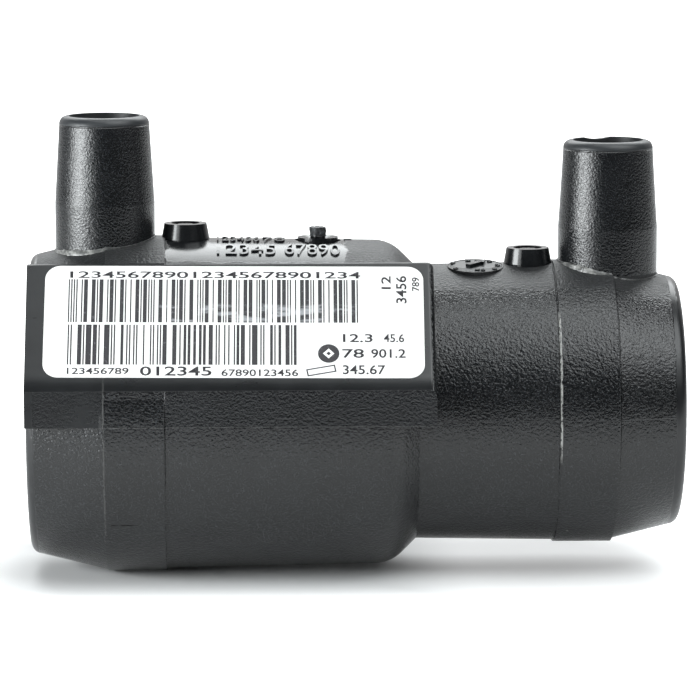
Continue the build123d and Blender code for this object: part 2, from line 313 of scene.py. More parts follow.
def raise_on_body(piece, height, sink=0.06 * MM):
    """Lays a flat mesh on the body from above and gives it its height, with its foot sunk a little."""
    in_edit(piece, lambda: bpy.ops.mesh.subdivide(number_cuts=2))
    place_in_mesh(piece, Matrix.Translation((0, 0, cad_box[1][2])))
    lay = piece.modifiers.new("lay", "SHRINKWRAP")
    lay.target = frame["nodes"]["coupler_body"]
    lay.wrap_method = "PROJECT"
    lay.use_project_z = True
    lay.use_negative_direction = True
    lay.use_positive_direction = False
    thicken(piece, height + sink, 1.0 - 2.0 * sink / (height + sink))
    return piece


def bead(name, points, radii, rounding=2):
    """A thin closed bead of the given radii through points."""
    line = bpy.data.curves.new(name, "CURVE")
    line.dimensions = "3D"
    line.bevel_depth = 1.0
    line.bevel_resolution = rounding
    line.use_fill_caps = True
    spline = line.splines.new("POLY")
    spline.points.add(len(points) - 1)
    for point, place, radius in zip(spline.points, points, radii):
        point.co = (*place, 1.0)
        point.radius = radius
    piece = bpy.data.objects.new(name, line)
    bpy.context.scene.collection.objects.link(piece)
    only(piece)
    bpy.ops.object.convert(target="MESH")
    piece = bpy.context.object
    close_and_face_out(piece)
    smooth(piece, 60)
    return piece


# ---- Small tools for materials ------------------------------------------------------------------------


class Shader:
    """A material's node tree with short ways to add and join nodes."""

    def __init__(self, name):
        self.material = bpy.data.materials.get(name) or bpy.data.materials.new(name)
        self.material.use_nodes = True
        self.nodes = self.material.node_tree.nodes
        self.links = self.material.node_tree.links
        self.nodes.clear()
        self.output = self.nodes.new("ShaderNodeOutputMaterial")
        self.surface = self.nodes.new("ShaderNodeBsdfPrincipled")
        self.links.new(self.surface.outputs["BSDF"], self.output.inputs["Surface"])
        self.place = self.nodes.new("ShaderNodeTexCoord").outputs["Object"]

    def feed(self, socket, value):
        if isinstance(value, bpy.types.NodeSocket):
            self.links.new(value, socket)
        elif value is not None:
            socket.default_value = value

    def math(self, operation, *values, clamp=False):
        node = self.nodes.new("ShaderNodeMath")
        node.operation = operation
        node.use_clamp = clamp
        for socket, value in zip(node.inputs, values):
            self.feed(socket, value)
        return node.outputs["Value"]

    def chain(self, operation, values):
        """One operation carried through all the values in turn."""
        result = values[0]
        for value in values[1:]:
            result = self.math(operation, result, value)
        return result

    def product(self, *values):
        return self.chain("MULTIPLY", values)

    def largest(self, *values):
        return self.chain("MAXIMUM", values)

    def inverse(self, value, clamp=False):
        """1 where the value is 0, and 0 where it is 1."""
        return self.math("SUBTRACT", 1.0, value, clamp=clamp)

    def weigh(self, a, share_a, b, share_b):
        """The sum of two values, each by its own share."""
        return self.math("ADD", self.product(a, share_a), self.product(b, share_b))

    def reach(self, a, b):
        """Length of a line that goes a one way and b across it."""
        return self.math("SQRT", self.math("ADD", self.product(a, a), self.product(b, b)))

    def stretched(self, *shares):
        """The place on the piece, with X, Y and Z each by its own share."""
        node = self.nodes.new("ShaderNodeVectorMath")
        node.operation = "MULTIPLY"
        self.feed(node.inputs[0], self.place)
        self.feed(node.inputs[1], shares)
        return node.outputs["Vector"]

    def split(self, vector=None):
        node = self.nodes.new("ShaderNodeSeparateXYZ")
        self.feed(node.inputs[0], vector if vector is not None else self.place)
        return node.outputs["X"], node.outputs["Y"], node.outputs["Z"]

    def combine(self, x, y, z):
        node = self.nodes.new("ShaderNodeCombineXYZ")
        for socket, value in zip(node.inputs, (x, y, z)):
            self.feed(socket, value)
        return node.outputs["Vector"]

    def ramp(self, value, low, high, to_low=0.0, to_high=1.0):
        """Value carried from the range low..high to the range to_low..to_high, with soft ends."""
        node = self.nodes.new("ShaderNodeMapRange")
        node.interpolation_type = "SMOOTHSTEP"
        for name, number in (
            ("Value", value),
            ("From Min", low),
            ("From Max", high),
            ("To Min", to_low),
            ("To Max", to_high),
        ):
            self.feed(node.inputs[name], number)
        return node.outputs["Result"]

    def within(self, value, low, high, soft):
        """1 between low and high, 0 outside, with a soft edge of the given width."""
        return self.product(self.ramp(value, low - soft, low), self.ramp(value, high, high + soft, 1.0, 0.0))

    def near_line(self, value, middle, half, soft):
        """1 within half a width of a line, with a soft edge."""
        return self.within(value, middle - half, middle + half, soft)

    def noise(self, scale, detail=2.0, rough=0.5, vector=None, distortion=0.0):
        node = self.nodes.new("ShaderNodeTexNoise")
        self.feed(node.inputs["Vector"], vector if vector is not None else self.place)
        node.inputs["Scale"].default_value = scale
        node.inputs["Detail"].default_value = detail
        node.inputs["Roughness"].default_value = rough
        node.inputs["Distortion"].default_value = distortion
        return node.outputs["Fac"]

    def cells(self, scale):
        """Random cells: how far each point is from its cell's middle, and a number that a cell keeps."""
        node = self.nodes.new("ShaderNodeTexVoronoi")
        self.feed(node.inputs["Vector"], self.place)
        node.inputs["Scale"].default_value = scale
        return node.outputs["Distance"], self.split(node.outputs["Color"])[0]

    def mix(self, factor, a, b):
        node = self.nodes.new("ShaderNodeMix")
        self.feed(node.inputs["Factor"], factor)
        self.feed(node.inputs["A"], a)
        self.feed(node.inputs["B"], b)
        return node.outputs["Result"]

    def mix_colour(self, factor, a, b):
        node = self.nodes.new("ShaderNodeMix")
        node.data_type = "RGBA"
        self.feed(node.inputs[0], factor)
        self.feed(node.inputs[6], a)
        self.feed(node.inputs[7], b)
        return node.outputs[2]

    def bump(self, height, distance, normal=None):
        node = self.nodes.new("ShaderNodeBump")
        self.feed(node.inputs["Height"], height)
        node.inputs["Distance"].default_value = distance
        self.feed(node.inputs["Normal"], normal)
        return node.outputs["Normal"]

    def dress(self, **sockets):
        """Sets or joins the surface's sockets; an underscore stands for a space."""
        for name, value in sockets.items():
            self.feed(self.surface.inputs[name.replace("_", " ")], value)
        return self.material


def shade(values, share=1.0):
    """A colour by a share of its brightness, with the fourth number that a socket needs."""
    return (*(value * share for value in values), 1.0)


# ---- Materials ----------------------------------------------------------------------------------------


def moulded_polyethylene(look, relief):
    """Grained black polyethylene, with the polished places where the mould is bare."""
    s = Shader("moulded_polyethylene")
    black = look.polyethylene
    x, y, z = s.split()
    from_axis = s.reach(y, z)
    front = s.math("LESS_THAN", y, 0.0)

    def around(stem_x, radius, low_z):
        """1 within a radius of an upright line and above a height."""
        away = s.reach(s.math("SUBTRACT", x, stem_x), y)
        near = s.ramp(away, radius, radius + 0.03 * MM, 1.0, 0.0)
        return s.product(near, s.ramp(z, low_z, low_z + 0.05 * MM))

    def at_sleeves(radius, large_z, small_z):
        return s.largest(around(LARGE_TERMINAL_X, radius, large_z), around(SMALL_TERMINAL_X, radius, small_z))

    def inside_bore(radius):
        wall = radius + 1.25 * MM
        return s.ramp(from_axis, wall, wall + 0.1 * MM, 1.0, 0.0)

    # The pad: its leaning facet, and the foot below it where no band runs on.
    crease_y, crease_z, lean = pad_facet()
    beyond, above = s.math("SUBTRACT", y, crease_y), s.math("SUBTRACT", z, crease_z)
    off_facet = s.weigh(beyond, -math.cos(lean), above, math.sin(lean))
    up_facet = s.weigh(beyond, math.sin(lean), above, math.cos(lean))
    facet = s.product(
        s.within(off_facet, -0.03 * MM, 0.03 * MM, 0.01 * MM),
        s.within(z, PAD_FOOT_Z - 0.05 * MM, 19.4 * MM, 0.02 * MM),
        front,
    )
    band = s.product(s.within(x, *LARGE_BAND_X, 0.02 * MM), s.ramp(from_axis, 21.7 * MM, 21.75 * MM))
    foot = s.product(
        s.within(z, 0.0, PAD_FOOT_Z, 0.02 * MM),
        s.ramp(y, -21.5 * MM, -21.4 * MM, 1.0, 0.0),
        s.inverse(band),
        s.ramp(x, -31.5 * MM, -24.0 * MM, 0.75, 0.4),
    )
    pad = s.product(s.largest(facet, foot), s.ramp(x, PAD_END_X, PAD_END_X + 0.05 * MM, 1.0, 0.0))

    # Polished places: sockets, indicator cups, gate, dial, wells, lips and the smooth end of each nose.
    inside = s.largest(
        s.product(inside_bore(LARGE_BORE_R), s.math("LESS_THAN", x, STOP_END_X)),
        s.product(inside_bore(SMALL_BORE_R), s.math("GREATER_THAN", x, 0.0)),
    )
    cup_r = 3.16 * MM
    cups = s.largest(around(LARGE_CUP_X, cup_r, 20.9 * MM), around(SMALL_CUP_X, cup_r, 17.6 * MM))
    gate = around(relief.gate_x, 3.0 * MM, 20.5 * MM)
    dial = around(relief.dial_x, relief.dial_radius + 0.05 * MM, 17.2 * MM)
    wells = at_sleeves(4.62 * MM, 23.0 * MM, 20.0 * MM)
    lips = at_sleeves(7.0 * MM, LARGE_LIP_Z, SMALL_LIP_Z)
    shrouds = at_sleeves(6.5 * MM, 20.0 * MM, 17.0 * MM)
    off_shrouds = s.inverse(shrouds)
    waves = s.product(s.math("SUBTRACT", s.noise(420, 2), 0.5), 1.6 * MM)
    wavy_x = s.math("ADD", x, s.product(waves, 0.25))
    ends = s.inverse(s.within(wavy_x, BODY_LOW.x + 1.1 * MM, BODY_HIGH.x - 1.5 * MM, 0.15 * MM))
    polished = s.largest(cups, gate, dial, wells, lips, inside, ends)

    # The polished window behind the pad, with its wavy borders.
    window = s.product(
        s.within(s.math("ADD", x, s.product(waves, 1.8)), -24.0 * MM, -1.4 * MM, 0.5 * MM),
        s.within(s.math("ADD", y, waves), -8.9 * MM, 2.5 * MM, 0.3 * MM),
        s.ramp(z, 18.5 * MM, 18.6 * MM),
    )
    smoothed = s.largest(polished, pad, window)

    # Spark-eroded grain: flat tops with pits between them, finer on the terminal sleeves.
    coarse = s.ramp(s.noise(1.0 / look.grain_size, 2.0, 0.6, None, 0.3), 0.2, 0.8)
    sleeve_grain = s.ramp(s.noise(1.0 / look.sleeve_grain_size, 2.0, 0.6, None, 0.3), 0.2, 0.8)
    tops = s.mix(shrouds, coarse, sleeve_grain)
    crest = s.product(s.ramp(s.math("DIVIDE", z, from_axis), 0.8, 0.97), off_shrouds)
    amount = s.product(s.inverse(smoothed, clamp=True), s.mix(shrouds, 1.0, 0.6), s.mix(crest, 1.0, 0.85))
    pitted = s.product(s.inverse(tops), amount)

    # Fine drawn streaks and swirls of the polished skin.
    streaks = s.noise(900, 3, 0.6, s.stretched(0.16, 1.0, 1.0))
    swirls = s.noise(260, 3, 0.5, None, 1.2)
    fine = s.weigh(streaks, 0.6, swirls, 0.5)
    normal = s.bump(s.weigh(tops, amount, fine, 0.15), look.grain_height)

    # A fine groove under each lip and a lighter one beside each band's edge.
    lip_groove = s.largest(*(
        s.product(around(stem_x, 7.0 * MM, 30.0 * MM), s.within(z, lip_z - 0.08 * MM, lip_z, 0.1 * MM))
        for stem_x, lip_z in ((LARGE_TERMINAL_X, LARGE_LIP_Z), (SMALL_TERMINAL_X, SMALL_LIP_Z))
    ))
    band_edges = (LARGE_BAND_X[1] + 0.08 * MM, SMALL_BAND_X[0] - 0.1 * MM, SMALL_BAND_X[1] + 0.1 * MM)
    band_line = s.largest(*(s.near_line(x, edge, 0.03 * MM, 0.1 * MM) for edge in band_edges))
    band_line = s.product(band_line, s.ramp(z, -12 * MM, 2 * MM), amount, off_shrouds)
    groove = s.largest(lip_groove, s.product(band_line, 0.8))
    normal = s.bump(s.product(groove, -1.0), 0.12 * MM, normal)

    # The crease below the facet, worn round.
    round_to, round_share = 2.4 * MM, 0.22
    to_crease = s.math("MAXIMUM", s.math("SUBTRACT", round_to, up_facet), 0.0)
    rounding = s.product(to_crease, to_crease, -round_share / round_to, facet)
    normal = s.bump(rounding, 1.0, normal)

    # A dark scratch low on the large band, broken along its length.
    scratch = s.product(
        s.within(x, LARGE_BAND_X[0] + 0.9 * MM, LARGE_BAND_X[0] + 3.9 * MM, 0.4 * MM),
        s.within(z, -13.2 * MM, -13.1 * MM, 0.1 * MM),
        s.ramp(s.noise(1500, 2, 0.6), 0.3, 0.5),
        front,
    )

    cloud = s.noise(120, 4, 0.6)
    rough = s.mix(smoothed, look.grain_roughness, 0.3)
    for place, roughness in ((cups, look.gloss_roughness), (lips, 0.42), (window, 0.2)):
        rough = s.mix(place, rough, roughness)
    rough = s.math("ADD", rough, s.product(crest, amount, 0.45))
    for pattern, middle, share in ((cloud, 0.5, 0.12), (fine, 0.55, 0.15)):
        rough = s.math("ADD", rough, s.product(s.math("SUBTRACT", pattern, middle), share))
    rough = s.math("ADD", rough, s.product(pitted, 0.05), clamp=True)
    rough = s.mix(scratch, rough, 1.0)

    # Pale ragged lines along the small band's left edge, fainter on the large band and under the pad.
    ragged = s.ramp(s.noise(2600, 2, 0.6, s.stretched(1.0, 1.0, 0.5)), 0.34, 0.56)
    pale_small_edge = s.product(
        s.within(x, SMALL_BAND_X[0] - 0.08 * MM, SMALL_BAND_X[0] + 0.12 * MM, 0.06 * MM),
        s.within(z, -3.0 * MM, 11.5 * MM, 3.0 * MM),
    )
    pale_large_edge = s.product(
        s.within(x, LARGE_BAND_X[0] - 0.06 * MM, LARGE_BAND_X[0] + 0.1 * MM, 0.06 * MM),
        s.within(z, -14.0 * MM, 4.5 * MM, 3.0 * MM),
    )
    pale_pad_edge = s.product(
        s.near_line(z, 0.0, 0.05 * MM, 0.05 * MM),
        s.within(x, LARGE_BAND_X[0] + 0.2 * MM, PAD_END_X - 0.4 * MM, 0.2 * MM),
    )
    pale_edge_line = s.largest(pale_small_edge, s.product(s.largest(pale_large_edge, pale_pad_edge), 0.12))
    pale_edge_line = s.product(pale_edge_line, ragged, front)

    # Sparse lighter specks over the grain: painted highlights where the grain's tops would catch the light.
    painted_glint = s.product(s.ramp(s.noise(2.2 / look.grain_size, 1.0, 0.5), 0.6, 0.72), amount)
    cell_distance, cell_number = s.cells(330)
    few_cells = s.math("GREATER_THAN", cell_number, 0.965)
    speck = s.product(s.ramp(cell_distance, 0.02, 0.045, 1.0, 0.0), few_cells)
    tone = s.mix_colour(s.ramp(cloud, 0.35, 0.7), shade(black, 0.85), shade(black, 1.25))
    for amount_over, over in (
        # The pits painted darker: painted shade in the grain's hollows.
        (s.product(pitted, 0.75), shade(black, 0.2)),
        (s.product(painted_glint, 0.6), shade(black, 6.0)),
        (s.product(pale_edge_line, 0.6), shade(look.dust_and_highlight)),
        (scratch, (0, 0, 0, 1)),
        # The lips painted lighter: a painted highlight on their rounded faces.
        (s.product(lips, 0.8), shade(black, 3.0)),
        (speck, shade(look.dust_and_highlight)),
    ):
        tone = s.mix_colour(amount_over, tone, over)
    return s.dress(Base_Color=tone, Roughness=rough, Normal=normal, IOR=1.5)


def smooth_polyethylene(look):
    """Black polyethylene where the mould is polished."""
    s = Shader("smooth_polyethylene")
    swirls = s.noise(900, 3, 0.5, None, 0.8)
    black = look.polyethylene
    tone = s.mix_colour(s.ramp(s.noise(300, 3), 0.3, 0.7), shade(black, 0.85), shade(black, 1.2))
    rough = s.ramp(swirls, 0.3, 0.7, look.gloss_roughness * 0.8, look.gloss_roughness * 1.6)
    return s.dress(Base_Color=tone, Roughness=rough, Normal=s.bump(swirls, 0.004 * MM), IOR=1.5)


def flash_polyethylene(look, relief):
    """Thin flash, pale in ragged patches all round, with a painted highlight where it is broad at the front
    left of each sleeve.
    """
    s = Shader("flash_polyethylene")
    x, y, _ = s.split()
    broad_from, broad_full = relief.sleeve_radius * 0.78, relief.sleeve_radius * 0.95
    broad = []
    for stem_x in (LARGE_TERMINAL_X, SMALL_TERMINAL_X):
        dx = s.math("SUBTRACT", x, stem_x)
        toward = s.weigh(dx, math.cos(FLASH_BEARING), y, math.sin(FLASH_BEARING))
        at_sleeve = s.math("LESS_THAN", s.math("ABSOLUTE", dx), relief.sleeve_radius + 1.0 * MM)
        broad.append(s.product(s.ramp(toward, broad_from, broad_full), at_sleeve))
    ragged = s.ramp(s.noise(1100, 3, 0.6), 0.4, 0.62)
    # The ragged paleness all round is the flash's own colour; the extra paleness at the front left is a
    # painted highlight.
    worn = s.product(s.mix(ragged, 0.3, 1.0), s.mix(s.largest(*broad), 0.25, 1.0))
    tone = s.mix_colour(worn, shade(look.polyethylene, 1.5), shade(look.dust_and_highlight, 0.55))
    return s.dress(Base_Color=tone, Roughness=s.ramp(s.noise(900, 2), 0.3, 0.7, 0.25, 0.4), IOR=1.5)


def turned_brass(look):
    """Brass with the fine rings that turning leaves."""
    s = Shader("turned_brass")
    rings = s.noise(9000.0, 2, 0.5, s.combine(0.0, 0.0, s.split()[2]))
    tone = s.mix_colour(s.ramp(s.noise(700, 3), 0.35, 0.7), shade(look.brass, 0.8), shade(look.brass))
    rough = s.ramp(rings, 0.3, 0.7, 0.18, 0.34)
    return s.dress(Base_Color=tone, Roughness=rough, Metallic=1.0, Normal=s.bump(rings, 0.006 * MM))


def resistance_wire(look):
    """Drawn copper-nickel wire."""
    s = Shader("resistance_wire")
    drawn = s.noise(2600, 2, 0.6, s.stretched(4.0, 0.4, 0.4))
    tone = s.mix_colour(s.ramp(s.noise(500, 3), 0.35, 0.7), shade(look.wire, 0.7), shade(look.wire))
    rough = s.ramp(drawn, 0.3, 0.7, 0.25, 0.42)
    return s.dress(Base_Color=tone, Metallic=1.0, Roughness=rough, Normal=s.bump(drawn, 0.004 * MM))


def torn_polyethylene(look):
    """Rough and partly whitened plastic where the gate was torn off."""
    s = Shader("torn_polyethylene")
    tears = s.noise(1900, 4, 0.65, None, 0.8)
    black = look.polyethylene
    tone = s.mix_colour(s.ramp(tears, 0.5, 0.66), shade(black), shade(black, 7.0))
    rough = s.ramp(tears, 0.35, 0.65, 0.3, 0.55)
    return s.dress(Base_Color=tone, Roughness=rough, Normal=s.bump(tears, 0.16 * MM), IOR=1.5)


def label_film(look):
    """Satin white film."""
    s = Shader("label_film")
    fibres = s.noise(1500, 3, 0.6)
    tone = s.mix_colour(s.ramp(s.noise(160, 3), 0.3, 0.75), shade(look.film), shade(look.film, 0.97))
    rough = s.ramp(fibres, 0.3, 0.7, 0.36, 0.5)
    return s.dress(Base_Color=tone, Roughness=rough, Normal=s.bump(fibres, 0.003 * MM), IOR=1.45)


def thermal_ink(look):
    """Black print that is worn to grey along the middle of the upper bars."""
    s = Shader("thermal_ink")
    x, _, z = s.split()
    wavy_z = s.math("ADD", z, s.product(s.noise(300, 2), 0.8 * MM))
    patches = s.ramp(s.noise(700, 3, 0.6, s.stretched(0.35, 1.0, 1.0)), 0.46, 0.62)
    wear = s.product(
        s.within(wavy_z, 13.2 * MM, 14.7 * MM, 0.4 * MM),
        s.within(x, -24.0 * MM, -1.5 * MM, 2.0 * MM),
        patches,
        0.7,
    )
    pinholes = s.ramp(s.noise(2500, 2), 0.62, 0.7, 0.0, 0.35)
    tone = s.mix_colour(wear, shade(look.ink), (0.42, 0.43, 0.45, 1.0))
    tone = s.mix_colour(pinholes, tone, (0.16, 0.15, 0.17, 1.0))
    return s.dress(Base_Color=tone, Roughness=s.ramp(s.noise(1200, 2), 0.3, 0.7, 0.38, 0.5), IOR=1.45)


# ---- The pad's facet, read back from the body ---------------------------------------------------------


def pad_facet():
    """Y and Z of the crease below the facet, and the facet's lean from upright, taken beside the label."""
    x = BODY_LOW.x + 1.0 * MM
    foot_low, foot_high = beside_body(x, 1.0 * MM, -1), beside_body(x, 4.0 * MM, -1)
    low, high = beside_body(x, 8.0 * MM, -1), beside_body(x, 16.0 * MM, -1)
    rise, foot_rise = high - low, foot_high - foot_low
    lean = math.atan2(rise.y, rise.z)
    foot_slope, slope = foot_rise.y / foot_rise.z, rise.y / rise.z
    crease_z = (low.y - slope * low.z - foot_low.y + foot_slope * foot_low.z) / (foot_slope - slope)
    crease_y = low.y + slope * (crease_z - low.z)
    return crease_y, crease_z, lean


def facet_matrix(label, off):
    """Places flat print on the facet: X along it from the large mouth, Y up it from the crease."""
    crease_y, crease_z, lean = pad_facet()
    along = Vector((1, 0, 0))
    up = Vector((0, math.sin(lean), math.cos(lean)))
    out = Vector((0, -math.cos(lean), math.sin(lean)))
    corner = Vector((BODY_LOW.x, crease_y, crease_z)) + out * off
    upright = axes_matrix(along, up, out, corner)
    middle = (LABEL_LOW + LABEL_HIGH) / 2 - corner
    centre = Matrix.Translation((middle.dot(along), middle.dot(up), 0))
    return upright @ centre @ Matrix.Rotation(label.turn, 4, "Z") @ centre.inverted()


def print_on_label(piece, label, lift=0.002):
    """Lays flat print on the film, drawn along it from the large mouth and up it from the crease."""
    place_in_mesh(piece, facet_matrix(label, label.film_thickness + lift * MM))
    thicken(piece, label.ink_thickness)
    return piece


def paired_bars(draw, pairs):
    """Run lengths, bar and gap in turn, where two of five bars and two of five gaps are wide."""
    runs = [1, 1, 1, 1]
    for _ in range(pairs):
        wide_bars, wide_gaps = draw.sample(range(5), 2), draw.sample(range(5), 2)
        for i in range(5):
            runs += [3 if i in wide_bars else 1, 3 if i in wide_gaps else 1]
    return runs + [3, 1, 1]


def mixed_bars(draw, groups):
    """Run lengths of one to four modules, three bars and three gaps to each group of eleven modules."""
    runs = []
    for _ in range(groups):
        cuts = sorted(draw.sample(range(1, 11), 5))
        lengths = [high - low for low, high in zip([0] + cuts, cuts + [11])]
        runs += [min(length, 4) for length in lengths]
    return runs + [2, 3, 3, 1, 1, 1, 2]


def bar_row(name, runs, low, high):
    """A row of upright bars: a grid with a column to each module, and the columns of the gaps deleted."""
    dark = [position % 2 == 0 for position, run in enumerate(runs) for _ in range(run)]
    columns = len(dark)
    width, height = (high[0] - low[0]) * MM, (high[1] - low[1]) * MM
    deselect()
    bpy.ops.mesh.primitive_grid_add(x_subdivisions=columns, y_subdivisions=1, size=1.0)
    row = bpy.context.object
    row.name = name
    bpy.ops.object.mode_set(mode="EDIT")
    bpy.ops.mesh.select_mode(type="FACE")
    bpy.ops.mesh.select_all(action="DESELECT")
    bpy.ops.object.mode_set(mode="OBJECT")
    for face in row.data.polygons:
        face.select = not dark[min(columns - 1, int((face.center.x + 0.5) * columns))]
    bpy.ops.object.mode_set(mode="EDIT")
    bpy.ops.mesh.delete(type="FACE")
    bpy.ops.mesh.select_mode(type="VERT")
    bpy.ops.mesh.select_all(action="SELECT")
    bpy.ops.mesh.dissolve_limited(angle_limit=math.radians(1))
    bpy.ops.object.mode_set(mode="OBJECT")
    row.scale = (width, height, 1)
    row.location = (low[0] * MM + width / 2, low[1] * MM + height / 2, 0)
    place_in_mesh(row)
    return row


def dial_place(relief):
    """Matrix of the date dial's flat disc: its centre, its X along the bore and its Z off the disc."""
    on_disc, out = on_body(relief.dial_x, -2.0 * MM)
    height = on_disc.dot(out) - relief.dial_x * out.x
    centre = Vector((relief.dial_x, out.y * height, out.z * height))
    along = Vector((1, 0, 0))
    return axes_matrix(along, out.cross(along), out, centre)


def foot_flash(name, stem_x, foot_r, taper, draw):
    """A ring of three-sided section round a sleeve's foot, broad at the front left and thin elsewhere."""
    steps = 180
    thin_width, broad_width = 0.14, 0.4
    thin_height, broad_height = 0.16, 0.62
    rings = [[], [], [], []]
    for i in range(steps):
        turn = 2 * math.pi * i / steps
        broad = max(0.0, math.cos(turn - FLASH_BEARING)) ** taper
        wide = (thin_width + (broad_width - thin_width) * broad) * draw.uniform(0.85, 1.15) * MM
        tall = (thin_height + (broad_height - thin_height) * broad) * draw.uniform(0.85, 1.15) * MM
        outward = Vector((math.cos(turn), math.sin(turn), 0))
        foot_reach, near_reach = foot_r + wide, foot_r + 0.04 * MM
        foot = on_body(stem_x + foot_reach * outward.x, foot_reach * outward.y)[0]
        near = on_body(stem_x + near_reach * outward.x, near_reach * outward.y)[0]
        wall = Vector((stem_x, 0, near.z)) + outward * (foot_r - 0.03 * MM)
        rings[0].append(foot - Vector((0, 0, 0.06 * MM)))
        rings[1].append(foot.lerp(wall, 0.12) + Vector((0, 0, tall * 0.85)))
        rings[2].append(wall + Vector((0, 0, tall)))
        rings[3].append(wall - Vector((0, 0, 0.1 * MM)))
    places = [place for ring in rings for place in ring]
    faces = []
    for a in range(4):
        b = (a + 1) % 4
        for i in range(steps):
            j = (i + 1) % steps
            faces.append((a * steps + i, a * steps + j, b * steps + j, b * steps + i))
    mesh = bpy.data.meshes.new(name)
    mesh.from_pydata(places, [], faces)
    piece = bpy.data.objects.new(name, mesh)
    bpy.context.scene.collection.objects.link(piece)
    close_and_face_out(piece)
    smooth(piece, 60)
    return piece


# ---- Operators ----------------------------------------------------------------------------------------


class COUPLER_OT_finish(bpy.types.Operator):
    """Give the carried-over solids their moulded, turned and filmed surfaces"""

    bl_idname = "coupler.finish"
    bl_label = "Surface finishes"

    def execute(self, context):
        look, relief = context.scene.coupler_moulding, context.scene.coupler_relief
        glossy, brass = smooth_polyethylene(look), turned_brass(look)
        dressed = {
            "coupler_body": moulded_polyethylene(look, relief),
            "fusion_indicator_large": glossy,
            "fusion_indicator_small": glossy,
            "terminal_pin_large": brass,
            "terminal_pin_small": brass,
            "label": label_film(context.scene.coupler_label),
        }
        for node, material in dressed.items():
            slots = frame["nodes"][node].material_slots
            if not slots:
                raise RuntimeError(f"{node} has no material slot to dress")
            for slot in slots:
                slot.link = "OBJECT"
                slot.material = material
        return {"FINISHED"}


class COUPLER_OT_label_print(bpy.types.Operator):
    """Print generic bars and counting figures on the label film"""

    bl_idname = "coupler.label_print"
    bl_label = "Label print"

    def execute(self, context):
        label = context.scene.coupler_label
        ink = thermal_ink(label)
        draw = random.Random(11)
        # Rows of bars, each with the low and high corner of its box on the film in millimetres.
        for name, runs, low, high in (
            ("label_bars_upper", paired_bars(draw, 12), (5.35, 9.9), (42.1, 16.25)),
            ("label_bars_lower", mixed_bars(draw, 14), (5.4, 3.7), (34.3, 9.55)),
        ):
            row = bar_row(name, runs, low, high)
            hand_over(print_on_label(row, label), name, ink)

        # Lines of figures, each with its box's corners in millimetres and its turn in degrees.
        lines = (
            ("123456789012345678901234", (5.5, 16.45), (42.45, 17.45), 0),
            ("123456789", (5.42, 2.3), (13.18, 3.25), 0),
            ("012345", (14.6, 2.1), (23.6, 3.45), 0),
            ("67890123456", (24.85, 2.05), (34.5, 3.05), 0),
            ("12.3", (40.15, 7.05), (43.9, 8.25), 0),
            ("45.6", (45.3, 7.05), (47.9, 8.25), 0),
            ("78", (40.05, 4.75), (42.8, 6.05), 0),
            ("901.2", (43.7, 4.75), (48.05, 6.05), 0),
            ("345.67", (40.1, 2.35), (45.45, 3.7), 0),
            ("12", (45.1, 14.9), (46.3, 16.8), 90),
            ("3456", (46.95, 12.8), (48.3, 16.85), 90),
            ("789", (49.0, 14.6), (49.95, 16.65), 90),
        )
        weight = 0.012
        printed = [print_on_label(figures(*line, weight), label) for line in lines]
        hand_over(join(printed, "label_figures"), "label_figures", ink)

        # A dot with a small open mark on it.
        shapes = []
        for corners, radius in ((48, 1.35), (4, 0.72)):
            deselect()
            bpy.ops.mesh.primitive_circle_add(
                vertices=corners, radius=radius * MM, fill_type="NGON", location=(38.34 * MM, 5.38 * MM, 0)
            )
            place_in_mesh(bpy.context.object)
            shapes.append(bpy.context.object)
        dot, mark = shapes
        hand_over(print_on_label(dot, label), "label_dot", ink)
        leave_border(mark, 0.3 * MM)
        over_print = 0.018
        hand_over(print_on_label(mark, label, over_print), "label_dot_mark", label_film(label))

        # A short length of pipe, drawn in outline.
        deselect()
        bpy.ops.mesh.primitive_plane_add(
            size=1.0, location=(37.4 * MM, 2.9 * MM, 0), rotation=(0, 0, math.radians(11))
        )
        outline = bpy.context.object
        outline.scale = (3.7 * MM, 1.05 * MM, 1)
        place_in_mesh(outline)
        leave_border(outline, 0.17 * MM)
        hand_over(print_on_label(outline, label), "label_pipe_outline", ink)
        return {"FINISHED"}


